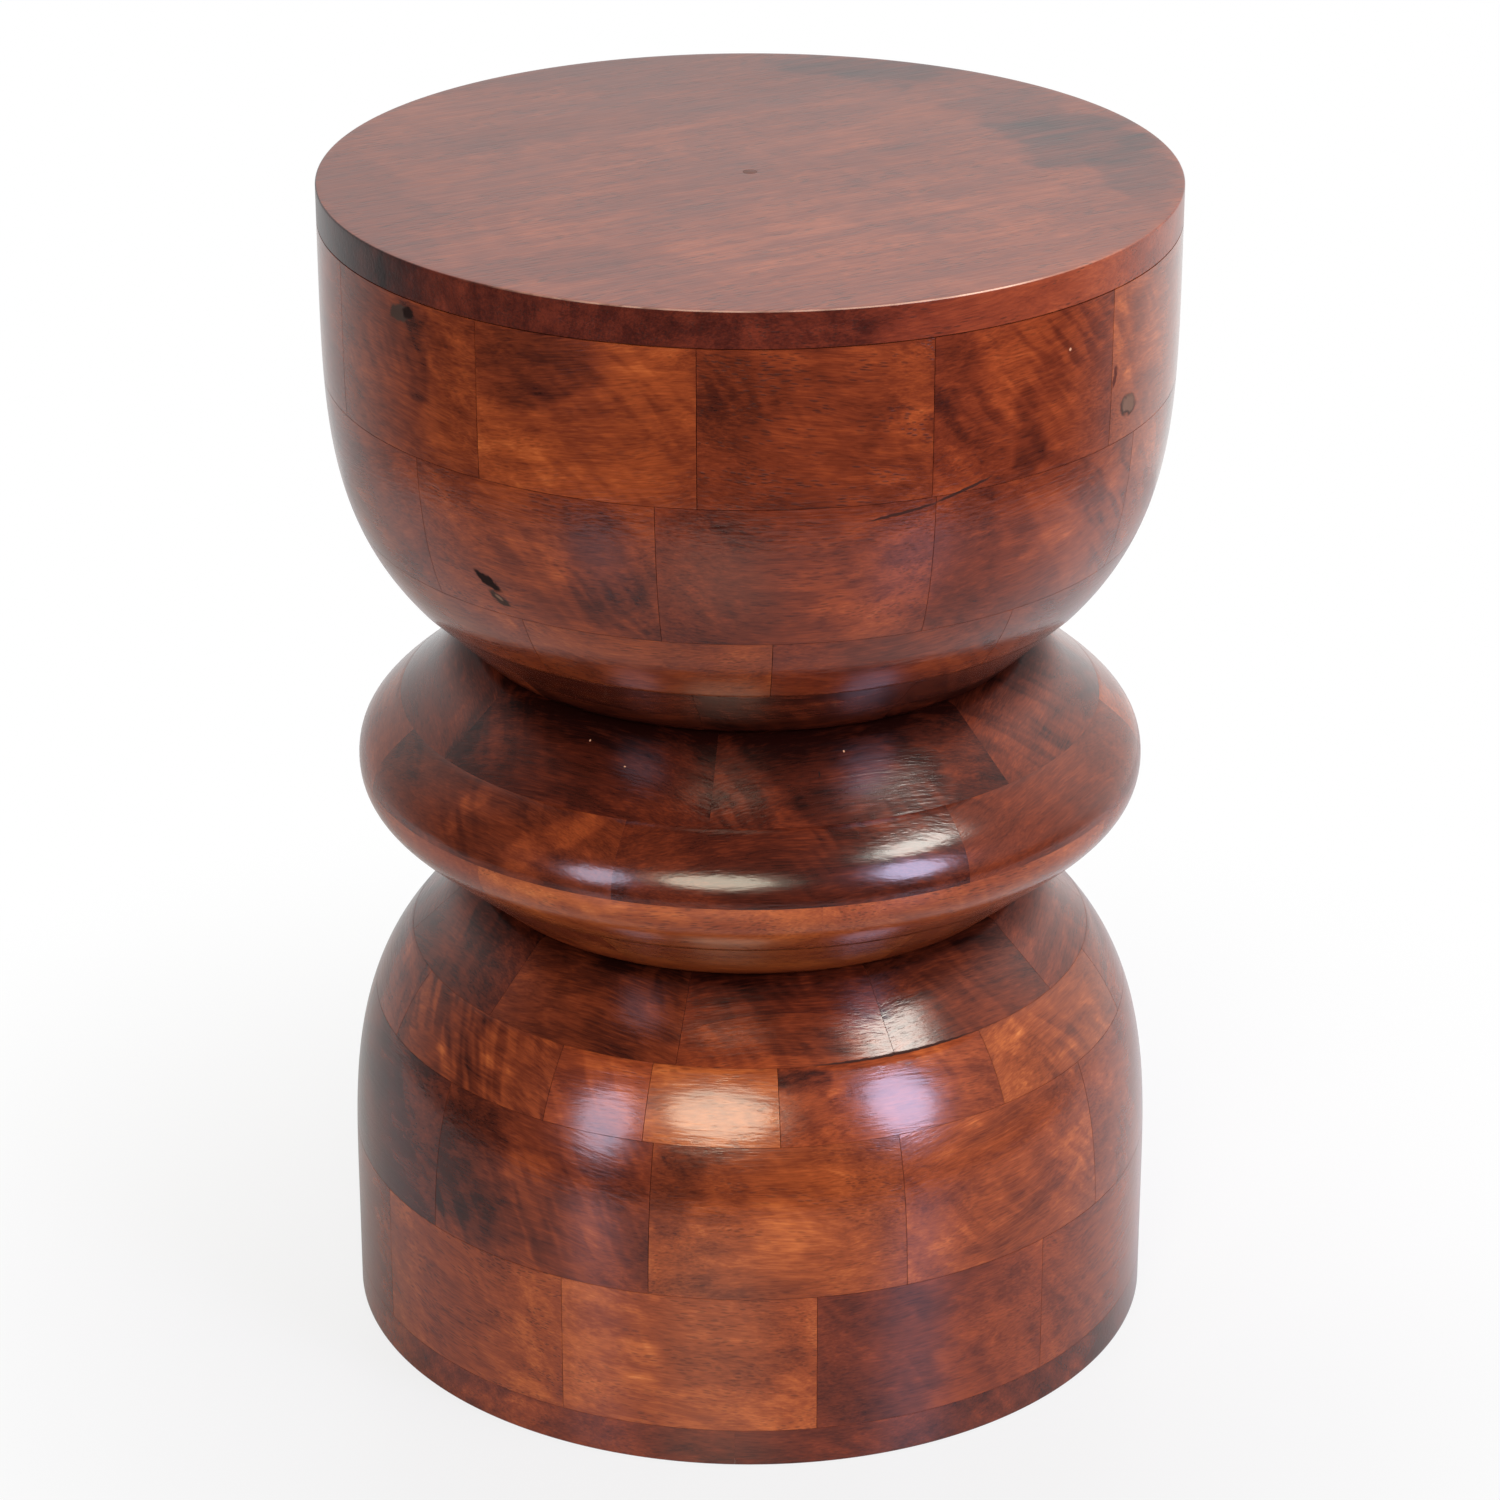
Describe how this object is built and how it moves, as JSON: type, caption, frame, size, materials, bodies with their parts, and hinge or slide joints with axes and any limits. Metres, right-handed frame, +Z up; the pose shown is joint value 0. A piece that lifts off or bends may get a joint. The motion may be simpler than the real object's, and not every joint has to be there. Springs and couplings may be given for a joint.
{
  "type": "stool",
  "caption": "Turned hardwood stool with a flat round seat, a bowl and a bell drum and a beaded waist between two V necks, brick-laid from stained blocks.",
  "frame": {"origin": "on the floor, under the centre of the stool", "axes": "+Z up along the turning axis, -Y towards the front that the picture shows, +X to its right"},
  "size_m": [0.3, 0.3, 0.43],
  "materials": {
    "seat_wood": "worn satin lacquer over a dusty red-brown stain",
    "rim_wood": "deep red-brown stain under satin lacquer",
    "bowl_wood": "deep red-brown stain under satin lacquer",
    "bead_wood": "deep red-brown stain under satin lacquer",
    "bell_wood": "deep red-brown stain under satin lacquer",
    "foot_wood": "deep red-brown stain under satin lacquer",
    "base_wood": "deep red-brown stain under satin lacquer",
    "dowel_wood": "raw sawn wood",
    "filler": "dark wood filler"
  },
  "bodies": {
    "root": {"seat_disc": "seat_wood", "seat_centre_plug": "filler", "rim_block_01": "rim_wood", "rim_block_02": "rim_wood", "rim_block_03": "rim_wood", "rim_block_04": "rim_wood", "rim_block_05": "rim_wood", "rim_block_06": "rim_wood", "rim_block_07": "rim_wood", "rim_block_08": "rim_wood", "rim_block_09": "rim_wood", "rim_block_10": "rim_wood", "rim_block_11": "rim_wood", "rim_block_12": "rim_wood", "bowl_block_01": "bowl_wood", "bowl_block_02": "bowl_wood", "bowl_block_03": "bowl_wood", "bowl_block_04": "bowl_wood", "bowl_block_05": "bowl_wood", "bowl_block_06": "bowl_wood", "bowl_block_07": "bowl_wood", "bowl_block_08": "bowl_wood", "bowl_block_09": "bowl_wood", "bowl_block_10": "bowl_wood", "bowl_shoulder_disc": "bowl_wood", "upper_neck_disc": "bowl_wood", "bead_4_disc": "bead_wood", "bead_3_disc": "bead_wood", "bead_2_disc": "bead_wood", "bead_1_disc": "bead_wood", "lower_neck_disc": "bell_wood", "bell_shoulder_disc": "bell_wood", "bell_block_01": "bell_wood", "bell_block_02": "bell_wood", "bell_block_03": "bell_wood", "bell_block_04": "bell_wood", "bell_block_05": "bell_wood", "bell_block_06": "bell_wood", "bell_block_07": "bell_wood", "bell_block_08": "bell_wood", "bell_block_09": "bell_wood", "bell_block_10": "bell_wood", "foot_block_01": "foot_wood", "foot_block_02": "foot_wood", "foot_block_03": "foot_wood", "foot_block_04": "foot_wood", "foot_block_05": "foot_wood", "foot_block_06": "foot_wood", "foot_block_07": "foot_wood", "foot_block_08": "foot_wood", "foot_block_09": "foot_wood", "foot_block_10": "foot_wood", "base_board_left": "base_wood", "base_board_right": "base_wood", "upper_dowel_1": "dowel_wood", "upper_dowel_2": "dowel_wood", "upper_dowel_3": "dowel_wood", "lower_dowel_1": "dowel_wood", "lower_dowel_2": "dowel_wood", "lower_dowel_3": "dowel_wood"}
  },
  "joints": []
}
